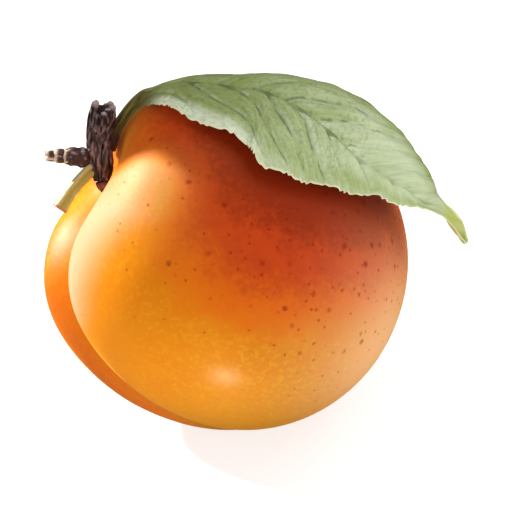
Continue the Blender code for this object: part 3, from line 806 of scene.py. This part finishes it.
def build_leaf():
    middle, tangent, along, knots, length = curve_through(LEAF_LINE, LEAF_STATIONS)
    outward = middle / np.linalg.norm(middle, axis=1, keepdims=True)
    s = (along - knots[BLADE_START]) / (1 - knots[BLADE_START])
    untwisted = ease(s, -0.05, 0.15)[:, None]
    side, normal = cross_frames(tangent, outward * untwisted + STALK_FACES * (1 - untwisted))
    u = s * length * (1 - knots[BLADE_START])
    near, far, rib, sway, wide = leaf_outline(s, u)
    share = np.linspace(-1, 1, LEAF_ACROSS)[None]
    spread = share * wide[:, None] + np.sin(0.5 * math.pi * share) * (1 - wide)[:, None]
    w = spread * np.where(spread > 0, (near - sway)[:, None], (far + sway)[:, None])
    q = sway[:, None] + w
    points = leaf_surface(q, spread, s, u, wide, middle, side, normal)

    u_grid = np.broadcast_to(u[:, None], q.shape)
    blade = np.broadcast_to((np.where(s < 0.5, wide, 1) * smooth(12 * s))[:, None], q.shape)
    sink, vein_off, rib_off, lit_flank = vein_relief(u_grid, w, spread, blade)
    bulge = np.sqrt(np.clip(rib[:, None] ** 2 - w * w, 0, None))
    top = np.maximum(0.5 * LEAF_THICKNESS, bulge * (1 - 0.7 * smooth(4 * s))[:, None]) - sink
    bottom = np.maximum(0.5 * LEAF_THICKNESS, bulge) + sink * 0.6
    edge = (1 - np.abs(spread)) * np.where(spread > 0, near[:, None], far[:, None])
    thin = np.where(blade > 0.5, 0.25 + 0.75 * smooth(edge / 0.5), 1)
    upper = points + (top * thin * MM)[..., None] * normal[:, None]
    lower = points - (bottom * thin * MM)[..., None] * normal[:, None]

    highlight_band, light, drawn = leaf_shades(u_grid, w, spread)
    level = np.zeros_like(q)
    values = {"leaf_place": np.stack((u_grid, w, level), axis=-1),
              "vein_place": np.stack((u_grid - VEIN_LEAN[0] * np.abs(w), w, level), axis=-1),
              "vein_off": vein_off, "rib_off": rib_off, "lit_flank": lit_flank, "blade": blade, "light": light,
              "drawn": drawn, "highlight_band": highlight_band * blade, "rim": (1 - ease(edge, 0.08, 0.35)) * blade,
              "tip": np.broadcast_to(ease(s, 0.87, 0.05)[:, None], q.shape)}

    def both(front, back):
        return np.concatenate((front, back[:, ::-1]), axis=1)

    rings = FRUIT_MIDDLE + both(upper, lower)
    shells = Shells()
    shells.add(rings, (rings[0].mean(0), rings[-1].mean(0)), underside=both(level, level + 1),
               **{name: both(value, value) for name, value in values.items()})
    shells.piece("leaf_blade", leaf_material(), "leaf_green", "leaf")


def leaf_stalk_colour(p, place):
    """Brownish green with fibres along it, paler on its near side and brown at its foot."""
    along, across = (p.node("ShaderNodeSeparateXYZ", {"Vector": place}, axis) for axis in (0, 1))
    fibre = p.noise(p.scaled(place, 0.3, 2.5, 1.0), 1.0, 2.0)
    stalk = p.mix(p.step(fibre, 0.35, 0.65), (0.075, 0.066, 0.010), (0.18, 0.17, 0.035))
    stalk = p.mix(p.step(across, -0.2, -0.6), stalk, (0.26, 0.27, 0.10))
    stalk = p.mix(p.step(across, 0.9, 1.8, 0.0, 0.5), stalk, (0.20, 0.20, 0.035))
    return p.mix(p.step(along, -7.4, -8.8), stalk, (0.11, 0.055, 0.030))


def leaf_material():
    """Sage green, lighter and darker over the blade as painted light and shade, with thin, broken dark veins
    painted as shade beside pale flanks painted as highlight, a fine net, a pale near margin painted as
    highlight, a pale yellow rim that is partly painted highlight, and a yellow-green tip painted as light
    shining through.
    """
    p = Paint("leaf_sage_green")
    place = p.value("leaf_place", "Vector")
    drawn = p.value("drawn")
    broad = p.noise(place, 6.0)
    breaks = p.noise(place, 2.2, 2.0)
    mottle = p.noise(place, 0.7, 3.0)
    streaks = p.noise(p.scaled(p.value("vein_place", "Vector"), 1.0, 0.22, 1.0), 0.55, 2.0)
    wobble = p.product(p.noise(place, 0.9), 0.16)
    net = p.step(cell_edges(p, p.scaled(place, 1.0, 0.7, 1.0), 1.6), 0.0, 0.10, 1.0, 0.0)
    fine_net = p.step(cell_edges(p, place, 0.75), 0.0, 0.14, 1.0, 0.0)
    # Dark vein and midrib lines and the dark dashes are painted shade in the sunk veins; the pale flanks
    # beside the veins are painted highlight.
    vein = p.step(p.math("SUBTRACT", p.value("vein_off"), wobble), -0.04, 0.13, 1.0, 0.0)
    midrib = p.step(p.math("SUBTRACT", p.value("rib_off"), wobble), 0.0, 0.20, 1.0, 0.0)
    vein = p.product(vein, p.step(breaks, 0.42, 0.58, 0.0, 0.65), drawn)
    midrib = p.product(midrib, p.step(breaks, 0.38, 0.55, 0.20, 0.65), drawn)
    dashes = p.product(net, p.step(breaks, 0.50, 0.60, 0.0, 0.22), drawn)
    lit_flank = p.product(p.value("lit_flank"), p.step(breaks, 0.40, 0.60, 0.10, 0.60))
    # painted highlight along the near margin
    highlight_band = p.product(p.value("highlight_band"), p.step(mottle, 0.35, 0.6, 0.55, 0.90))

    # painted light and shade over the blade
    light = p.sum((p.value("light"), 1.0), (broad, 0.5), (1.0, -0.25))
    green = p.mix(p.step(light, 0.0, 0.5), (0.25, 0.295, 0.050), (0.35, 0.435, 0.160))
    for share, colour in ((p.step(light, 0.5, 1.05), (0.61, 0.69, 0.45)),
                          (p.step(streaks, 0.50, 0.72, 0.0, 0.25), (0.62, 0.69, 0.46)),
                          (p.step(streaks, 0.28, 0.50, 0.25, 0.0), (0.20, 0.27, 0.06)),
                          (p.product(p.step(mottle, 0.30, 0.50, 0.45, 0.0), drawn), (0.13, 0.18, 0.03)),
                          (lit_flank, (0.64, 0.72, 0.50)),
                          (p.product(fine_net, drawn, 0.15), (0.13, 0.19, 0.04)),
                          (dashes, (0.10, 0.15, 0.04)),
                          (vein, (0.09, 0.14, 0.04)),
                          (midrib, (0.09, 0.14, 0.04)),
                          (highlight_band, (0.78, 0.84, 0.64)),
                          (p.product(p.value("underside"), 0.6), (0.33, 0.40, 0.18)),
                          # yellow-green tip: painted light shining through the leaf
                          (p.product(p.value("tip"), 0.85), (0.46, 0.52, 0.08)),
                          # the pale rim: the edge's own paler colour with painted highlight where the thin
                          # edge catches the light
                          (p.product(p.value("rim"), 0.85), (0.80, 0.77, 0.50))):
        green = p.mix(share, green, colour)
    p.bump(p.sum((mottle, 0.4), (streaks, 0.4), (dashes, -0.6), (vein, -0.7)), 0.16 * MM)
    return p.finish(p.mix(p.value("blade"), leaf_stalk_colour(p, place), green), Roughness=0.42,
                    Subsurface_Weight=0.1, Subsurface_Scale=0.5 * MM, Sheen_Weight=0.1, Sheen_Roughness=0.5)


def cell_edges(p, place, size):
    return p.node("ShaderNodeTexVoronoi", {"Vector": place, "Scale": 1 / size}, "Distance",
                  feature="DISTANCE_TO_EDGE")


# ---- Floor, lights and camera ----

CAMERA_LIFT = math.radians(33)
CAMERA_DISTANCE = 550 * MM
CAMERA_OFF = (12.02 * MM, -7.63 * MM)            # how far the fruit is right of and above a wider view's axis
AIM_OFF = (3.9 * MM, 0.13 * MM)                  # the aim, right of and above the fruit's middle
LENS = 123.75 * 16 / 7                           # mm: the wider view's, times what closes in on this fruit
SENSOR = 36                                      # mm
# Square soft lights: azimuth and elevation in degrees, distance and size in metres, watts, colour.
# Azimuth 0 is in front of the fruit (-Y) and 90 to its right (+X).
KEY = (-120, 27, 1.0, 0.06, 24.5, (1.0, 0.97, 0.92))
SOFT_LIGHTS = {"fill_left": (-25, 30, 1.0, 0.6, 3.3, (1.0, 0.98, 0.97)),
               "fill_right": (84, 10, 1.0, 0.6, 3.0, (1.0, 0.98, 0.97)),
               "sky": (118, 60, 1.2, 1.0, 6.5, (0.97, 0.99, 1.0))}
SOFT_LIGHTS_AIM = (0, 0, 20)                     # mm
LOW_CARD = (0, 0, 0.0, 9 * MM, 0.006, (0.85, 0.93, 1.0))
LOW_CARD_PLACE = (-5, -39, 0.5)                  # mm
FLAG_OUT = 42                                    # mm from the fruit's middle toward the key
# The flag's corners, mm right of and above the fruit's middle as the key sees it
FLAG_OUTLINE = ((-10.9, 11), (-6.5, 5.5), (40, 5.5), (40, 45), (-14, 45), (-14, 19.5), (-10.6, 17))
WORLD_COLOUR = (1.0, 0.99, 0.98, 1)
WORLD_STRENGTH = 0.35
FLOOR_GREYS = ((0.37, 0.37, 0.37), (0.39, 0.39, 0.39))
FLOOR_GLOW = 0.74
FLOOR_REACH = 3.0                                # m to each side
FLOOR_DROP = 0.02 * MM                           # keeps it clear of the fruit's flat


def look_at(obj, target):
    obj.rotation_euler = (target - obj.location).to_track_quat("-Z", "Y").to_euler()


def build_camera():
    right = Vector((1, 0, 0))
    up = Vector((0, math.sin(CAMERA_LIFT), math.cos(CAMERA_LIFT)))
    toward = Vector((0, -math.cos(CAMERA_LIFT), math.sin(CAMERA_LIFT)))
    middle = Vector(FRUIT_MIDDLE)
    camera = bpy.data.objects.new("camera", bpy.data.cameras.new("camera"))
    camera.data.lens = LENS
    camera.data.sensor_width = SENSOR
    camera.data.clip_start = 0.01
    camera.location = middle + toward * CAMERA_DISTANCE - right * CAMERA_OFF[0] - up * CAMERA_OFF[1]
    look_at(camera, middle + right * AIM_OFF[0] + up * AIM_OFF[1])
    bpy.context.scene.collection.objects.link(camera)
    bpy.context.scene.camera = camera


def add_light(name, target, azimuth, elevation, distance, size, power, colour):
    a, e = math.radians(azimuth), math.radians(elevation)
    data = bpy.data.lights.new(name, "AREA")
    data.size = size
    data.energy = power
    data.color = colour
    lamp = bpy.data.objects.new(name, data)
    lamp.location = target + distance * Vector((math.sin(a) * math.cos(e), -math.cos(a) * math.cos(e),
                                                math.sin(e)))
    look_at(lamp, target)
    bpy.context.scene.collection.objects.link(lamp)
    return lamp


def add_stage_mesh(name, corners, mat):
    """One flat face that isn't part of the fruit."""
    mesh = bpy.data.meshes.new(name)
    mesh.from_pydata(corners, [], [tuple(range(len(corners)))])
    mesh.materials.append(mat)
    card = bpy.data.objects.new(name, mesh)
    bpy.context.scene.collection.objects.link(card)
    return card


def add_flag(key):
    """A black card, out of the camera's sight, that shades the shoulder of the fruit from the key light."""
    toward = (key.location - Vector(FRUIT_MIDDLE)).normalized()
    right = toward.cross(Vector((0, 0, 1))).normalized()
    up = right.cross(toward)
    middle = Vector(FRUIT_MIDDLE) + toward * FLAG_OUT * MM
    corners = [middle + (right * a + up * b) * MM for a, b in FLAG_OUTLINE]
    flag = add_stage_mesh("flag", corners, Paint("flag_black").finish((0.02, 0.02, 0.02), Roughness=1.0))
    flag.visible_camera = False


def add_low_card():
    """A small glowing card over the floor, facing up, that gives the soft glint low on the cheek."""
    card = add_light("low_card", Vector(LOW_CARD_PLACE) * MM, *LOW_CARD)
    card.rotation_euler = (math.pi, 0, 0)
    card.visible_camera = False


def add_floor():
    p = Paint("pale_floor")
    mat = p.finish(p.mix(p.noise(p.place(), 0.4), *FLOOR_GREYS), Roughness=0.8,
                   Emission_Color=(1.0, 1.0, 1.0), Emission_Strength=FLOOR_GLOW)
    corners = [(x * FLOOR_REACH, y * FLOOR_REACH, -FLOOR_DROP)
               for x, y in ((-1, -1), (1, -1), (1, 1), (-1, 1))]
    add_stage_mesh("floor", corners, mat).visible_glossy = False


def add_world():
    world = bpy.data.worlds.new("studio")
    bpy.context.scene.world = world
    world.use_nodes = True
    background = world.node_tree.nodes["Background"]
    background.inputs["Color"].default_value = WORLD_COLOUR
    background.inputs["Strength"].default_value = WORLD_STRENGTH
    world.cycles_visibility.glossy = False
    bpy.context.scene.view_settings.view_transform = "Standard"


def build_stage():
    add_floor()
    add_world()
    key = add_light("key", Vector(FRUIT_MIDDLE), *KEY)
    for name, light in SOFT_LIGHTS.items():
        add_light(name, Vector(SOFT_LIGHTS_AIM) * MM, *light)
    add_flag(key)
    add_low_card()


build_camera()
build_fruit()
build_stalk()
build_spur()
build_bud()
build_cut_stalk()
build_leaf()
build_stage()

bpy.context.view_layer.update()
